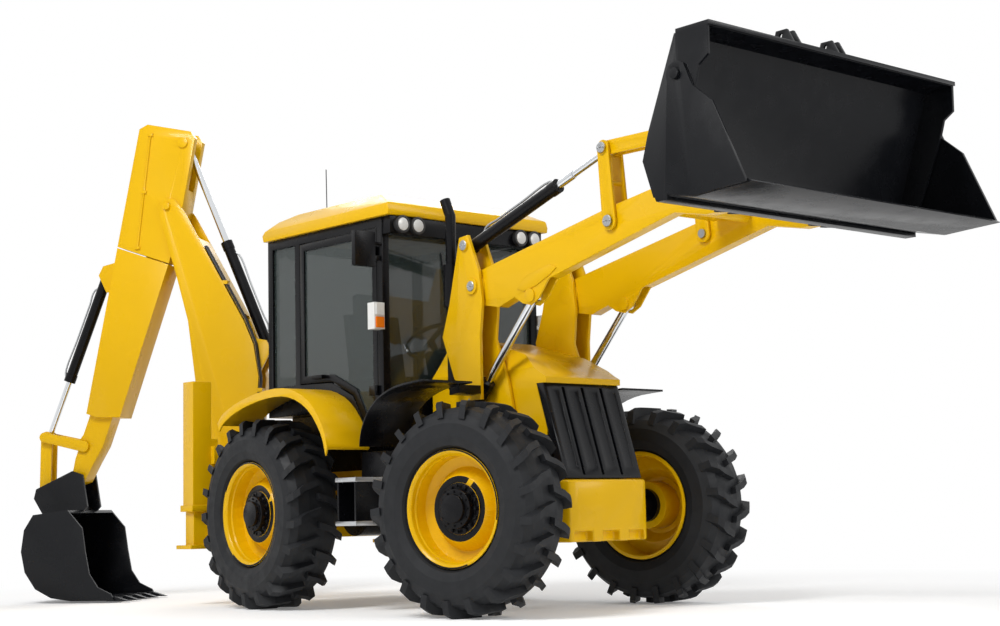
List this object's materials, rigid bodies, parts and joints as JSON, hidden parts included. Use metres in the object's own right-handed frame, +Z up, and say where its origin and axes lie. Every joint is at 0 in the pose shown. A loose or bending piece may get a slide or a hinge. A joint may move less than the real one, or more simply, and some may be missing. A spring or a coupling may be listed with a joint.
{
  "type": "backhoe loader",
  "caption": "Backhoe loader with four equal steered wheels, a clam loader bucket on raised arms and a side-shift backhoe swung out behind.",
  "frame": {"origin": "on the ground, in the middle of the overall box", "axes": "+X forward to the loader bucket, +Y to the machine's left, +Z up; right-handed, metres"},
  "size_m": [8.2622, 2.8486, 4.085],
  "materials": {
    "paint_yellow": "gloss",
    "paint_charcoal": "satin",
    "paint_black": "satin",
    "tyre_rubber": "matte",
    "pin_steel": "satin",
    "rod_chrome": "polished",
    "step_aluminium": "satin",
    "cab_glass": "gloss",
    "trim_plastic": "matte",
    "lamp_housing": "gloss",
    "engine_iron": "matte"
  },
  "bodies": {
    "chassis": {"chassis_frame": "paint_yellow", "axles": "paint_black", "front_counterweight": "paint_yellow", "engine_block": "engine_iron", "exhaust_stack": "paint_black", "cab_frame": "paint_black", "cab_roof": "paint_yellow", "cab_glass": "cab_glass", "cab_interior": "trim_plastic", "rear_fenders": "paint_yellow", "front_fenders": "paint_black", "side_steps": "step_aluminium", "lamps": "lamp_housing", "rear_frame": "paint_yellow"},
    "hood": {"hood": "paint_yellow", "grille": "paint_charcoal"},
    "door_right": {"door_right": "paint_black", "door_glass_right": "cab_glass"},
    "stabiliser_right": {"stabiliser_right": "paint_yellow"},
    "door_left": {"door_left": "paint_black", "door_glass_left": "cab_glass"},
    "stabiliser_left": {"stabiliser_left": "paint_yellow"},
    "knuckle_front_right": {"knuckle_front_right": "paint_black"},
    "wheel_front_right": {"tyre_front_right": "tyre_rubber", "rim_front_right": "paint_yellow"},
    "knuckle_front_left": {"knuckle_front_left": "paint_black"},
    "wheel_front_left": {"tyre_front_left": "tyre_rubber", "rim_front_left": "paint_yellow"},
    "knuckle_rear_right": {"knuckle_rear_right": "paint_black"},
    "wheel_rear_right": {"tyre_rear_right": "tyre_rubber", "rim_rear_right": "paint_yellow"},
    "knuckle_rear_left": {"knuckle_rear_left": "paint_black"},
    "wheel_rear_left": {"tyre_rear_left": "tyre_rubber", "rim_rear_left": "paint_yellow"},
    "levers": {"levers": "paint_yellow"},
    "links": {"links": "paint_yellow"},
    "tilt_ram_tubes": {"tilt_ram_tubes": "rod_chrome"},
    "bucket_shell": {"bucket_shell": "paint_charcoal"},
    "bucket_clam": {"bucket_clam": "paint_charcoal"},
    "lift_ram_barrels": {"lift_ram_barrels": "paint_black"},
    "lift_ram_rods": {"lift_ram_rods": "rod_chrome"},
    "tilt_ram_barrels": {"tilt_ram_barrels": "paint_black"},
    "tilt_ram_rods": {"tilt_ram_rods": "rod_chrome"},
    "carriage": {"carriage": "paint_yellow"},
    "kingpost": {"kingpost": "paint_yellow"},
    "boom": {"boom": "paint_yellow"},
    "dipper_inner": {"dipper_inner": "paint_yellow"},
    "dipper_outer": {"dipper_outer": "paint_yellow"},
    "hoe_bucket": {"hoe_bucket": "paint_charcoal"},
    "tipping_lever": {"tipping_lever": "paint_yellow"},
    "tipping_link": {"tipping_link": "paint_yellow"},
    "boom_ram_barrel": {"boom_ram_barrel": "paint_black"},
    "boom_ram_rod": {"boom_ram_rod": "rod_chrome"},
    "dipper_ram_barrel": {"dipper_ram_barrel": "paint_black"},
    "dipper_ram_rod": {"dipper_ram_rod": "rod_chrome"},
    "bucket_ram_barrel": {"bucket_ram_barrel": "paint_black"},
    "bucket_ram_rod": {"bucket_ram_rod": "rod_chrome"},
    "loader_arms": {"loader_arms": "paint_yellow", "lever_pins": "pin_steel", "bucket_pins": "pin_steel"}
  },
  "joints": [
    {"name": "steer_front_right", "type": "hinge", "parent": "chassis", "child": "knuckle_front_right", "pos_m": [1.37605, -0.4643, 0.7], "axis": [0, 0, 1], "range_deg": [-30.5, 9.5]},
    {"name": "roll_front_right", "type": "hinge", "parent": "knuckle_front_right", "child": "wheel_front_right", "pos_m": [1.42799, -0.74452, 0.7], "axis": [-0.1822, 0.9833, 0], "continuous": true},
    {"name": "steer_front_left", "type": "hinge", "parent": "chassis", "child": "knuckle_front_left", "pos_m": [1.37605, 0.81571, 0.7], "axis": [0, 0, 1], "range_deg": [-30.5, 9.5]},
    {"name": "roll_front_left", "type": "hinge", "parent": "knuckle_front_left", "child": "wheel_front_left", "pos_m": [1.32412, 1.09593, 0.7], "axis": [-0.1822, 0.9833, 0], "continuous": true},
    {"name": "steer_rear_right", "type": "hinge", "parent": "chassis", "child": "knuckle_rear_right", "pos_m": [-0.84395, -0.4643, 0.7], "axis": [0, 0, 1], "range_deg": [-17, 23]},
    {"name": "roll_rear_right", "type": "hinge", "parent": "knuckle_rear_right", "child": "wheel_rear_right", "pos_m": [-0.85886, -0.7489, 0.7], "axis": [0.0523, 0.9986, 0], "continuous": true},
    {"name": "steer_rear_left", "type": "hinge", "parent": "chassis", "child": "knuckle_rear_left", "pos_m": [-0.84395, 0.81571, 0.7], "axis": [0, 0, 1], "range_deg": [-17, 23]},
    {"name": "roll_rear_left", "type": "hinge", "parent": "knuckle_rear_left", "child": "wheel_rear_left", "pos_m": [-0.82903, 1.10031, 0.7], "axis": [0.0523, 0.9986, 0], "continuous": true},
    {"name": "hood_hinge", "type": "hinge", "parent": "chassis", "child": "hood", "pos_m": [0.41605, 0.17571, 1.83], "axis": [0, -1, 0], "range_deg": [0, 50]},
    {"name": "door_right_hinge", "type": "hinge", "parent": "chassis", "child": "door_right", "pos_m": [0.24805, -0.5863, 1.9], "axis": [0, 0, 1], "range_deg": [0, 85]},
    {"name": "stabiliser_right_slide", "type": "slide", "parent": "chassis", "child": "stabiliser_right", "axis": [0, 0, -1], "range_m": [0, 0.55]},
    {"name": "door_left_hinge", "type": "hinge", "parent": "chassis", "child": "door_left", "pos_m": [0.24805, 0.93771, 1.9], "axis": [0, 0, -1], "range_deg": [0, 85]},
    {"name": "stabiliser_left_slide", "type": "slide", "parent": "chassis", "child": "stabiliser_left", "axis": [0, 0, -1], "range_m": [0, 0.55]},
    {"name": "lift", "type": "hinge", "parent": "chassis", "child": "loader_arms", "pos_m": [1.04605, 0.17571, 2.225], "axis": [0, -1, 0], "range_deg": [-72.7, 24.4]},
    {"name": "tilt", "type": "hinge", "parent": "loader_arms", "child": "bucket_shell", "pos_m": [3.30105, 0.17571, 2.486], "axis": [0, 1, 0], "range_deg": [-40, 50]},
    {"name": "levers_turn", "type": "hinge", "parent": "loader_arms", "child": "levers", "pos_m": [2.37105, 0.17571, 2.496], "axis": [0, 1, 0], "range_deg": [-40, 50]},
    {"name": "links_turn", "type": "hinge", "parent": "levers", "child": "links", "pos_m": [2.33405, 0.17571, 2.978], "axis": [0, 1, 0], "range_deg": [-50, 40]},
    {"name": "clam", "type": "hinge", "parent": "bucket_shell", "child": "bucket_clam", "pos_m": [3.61805, 0.17571, 3.089], "axis": [0, -1, 0], "range_deg": [0, 55]},
    {"name": "lift_rams_turn", "type": "hinge", "parent": "chassis", "child": "lift_ram_barrels", "pos_m": [0.44605, 0.17571, 0.86], "axis": [0, -1, 0], "range_deg": [-1.74, 0.59]},
    {"name": "lift_rams_stroke", "type": "slide", "parent": "lift_ram_barrels", "child": "lift_ram_rods", "axis": [0.6785, 0, 0.7346], "range_m": [-0.63453, 0.21303]},
    {"name": "tilt_rams_turn", "type": "hinge", "parent": "chassis", "child": "tilt_ram_barrels", "pos_m": [0.97105, 0.17571, 2.52], "axis": [0, -1, 0], "range_deg": [-68.19, 22.89]},
    {"name": "tilt_tubes_stroke", "type": "slide", "parent": "tilt_ram_barrels", "child": "tilt_ram_tubes", "axis": [0.9479, 0, 0.3185], "range_m": [-0.11581, 0.34485]},
    {"name": "tilt_rams_stroke", "type": "slide", "parent": "tilt_ram_tubes", "child": "tilt_ram_rods", "axis": [0.9479, 0, 0.3185], "range_m": [-0.30141, 0.37674]},
    {"name": "side_shift", "type": "slide", "parent": "chassis", "child": "carriage", "axis": [0, -1, 0], "range_m": [-0.55, 0.55]},
    {"name": "slew", "type": "hinge", "parent": "carriage", "child": "kingpost", "pos_m": [-2.26395, 0.17571, 0.8], "axis": [0, 0, 1], "range_deg": [-128, 52]},
    {"name": "boom_turn", "type": "hinge", "parent": "kingpost", "child": "boom", "pos_m": [-2.43337, 0.04334, 0.8], "axis": [0.6157, -0.788, 0], "range_deg": [-8, 110]},
    {"name": "dipper_turn", "type": "hinge", "parent": "boom", "child": "dipper_inner", "pos_m": [-2.93139, -0.34576, 3.35], "axis": [-0.6157, 0.788, 0], "range_deg": [-8, 92]},
    {"name": "dipper_extend", "type": "slide", "parent": "dipper_inner", "child": "dipper_outer", "axis": [-0.264, -0.2063, -0.9422], "range_m": [0, 1]},
    {"name": "hoe_bucket_turn", "type": "hinge", "parent": "dipper_outer", "child": "hoe_bucket", "pos_m": [-3.57835, -0.85122, 1.041], "axis": [0.6157, -0.788, 0], "range_deg": [-56, 110]},
    {"name": "tipping_lever_turn", "type": "hinge", "parent": "dipper_outer", "child": "tipping_lever", "pos_m": [-3.53816, -0.81982, 1.313], "axis": [0.6157, -0.788, 0], "range_deg": [-38.86, 76.34]},
    {"name": "tipping_link_turn", "type": "hinge", "parent": "tipping_lever", "child": "tipping_link", "pos_m": [-3.82184, -1.04146, 1.4], "axis": [0.6157, -0.788, 0], "range_deg": [-22.11, 11.26]},
    {"name": "boom_ram_turn", "type": "hinge", "parent": "kingpost", "child": "boom_ram_barrel", "pos_m": [-2.27971, 0.16339, 1.225], "axis": [0.6157, -0.788, 0], "range_deg": [-8.36, 114.93]},
    {"name": "boom_ram_stroke", "type": "slide", "parent": "boom_ram_barrel", "child": "boom_ram_rod", "axis": [-0.1986, -0.1552, 0.9677], "range_m": [-0.05802, 0.79646]},
    {"name": "dipper_ram_turn", "type": "hinge", "parent": "boom", "child": "dipper_ram_barrel", "pos_m": [-2.25213, 0.18494, 2.1], "axis": [-0.6157, 0.788, 0], "range_deg": [-1.01, 11.59]},
    {"name": "dipper_ram_stroke", "type": "slide", "parent": "dipper_ram_barrel", "child": "dipper_ram_rod", "axis": [-0.2934, -0.2292, 0.9281], "range_m": [-0.77951, 0.06787]},
    {"name": "bucket_ram_turn", "type": "hinge", "parent": "dipper_outer", "child": "bucket_ram_barrel", "pos_m": [-3.4042, -0.71516, 2.8], "axis": [0.6157, -0.788, 0], "range_deg": [-3.68, 7.23]},
    {"name": "bucket_ram_stroke", "type": "slide", "parent": "bucket_ram_barrel", "child": "bucket_ram_rod", "axis": [-0.279, -0.218, -0.9352], "range_m": [-0.20789, 0.40826]}
  ],
  "couplings": [
    {"joint": "steer_front_left", "follows": "steer_front_right", "ratio": 1},
    {"joint": "steer_rear_left", "follows": "steer_rear_right", "ratio": 1},
    {"joint": "levers_turn", "follows": "tilt", "ratio": 1},
    {"joint": "links_turn", "follows": "tilt", "ratio": -1},
    {"joint": "lift_rams_turn", "follows": "lift", "ratio": 0.024},
    {"joint": "lift_rams_stroke", "follows": "lift", "m_per_rad": 0.5},
    {"joint": "tilt_rams_turn", "follows": "lift", "ratio": 0.938},
    {"joint": "tilt_tubes_stroke", "follows": "lift", "m_per_rad": -0.2717},
    {"joint": "tilt_rams_stroke", "follows": "tilt", "m_per_rad": 0.4316},
    {"joint": "tipping_lever_turn", "follows": "hoe_bucket_turn", "ratio": 0.694},
    {"joint": "tipping_link_turn", "follows": "hoe_bucket_turn", "ratio": -0.201},
    {"joint": "boom_ram_turn", "follows": "boom_turn", "ratio": 1.0448},
    {"joint": "boom_ram_stroke", "follows": "boom_turn", "m_per_rad": 0.4148},
    {"joint": "dipper_ram_turn", "follows": "dipper_turn", "ratio": 0.126},
    {"joint": "dipper_ram_stroke", "follows": "dipper_turn", "m_per_rad": -0.4854},
    {"joint": "bucket_ram_turn", "follows": "hoe_bucket_turn", "ratio": 0.0657},
    {"joint": "bucket_ram_stroke", "follows": "hoe_bucket_turn", "m_per_rad": 0.2126}
  ]
}
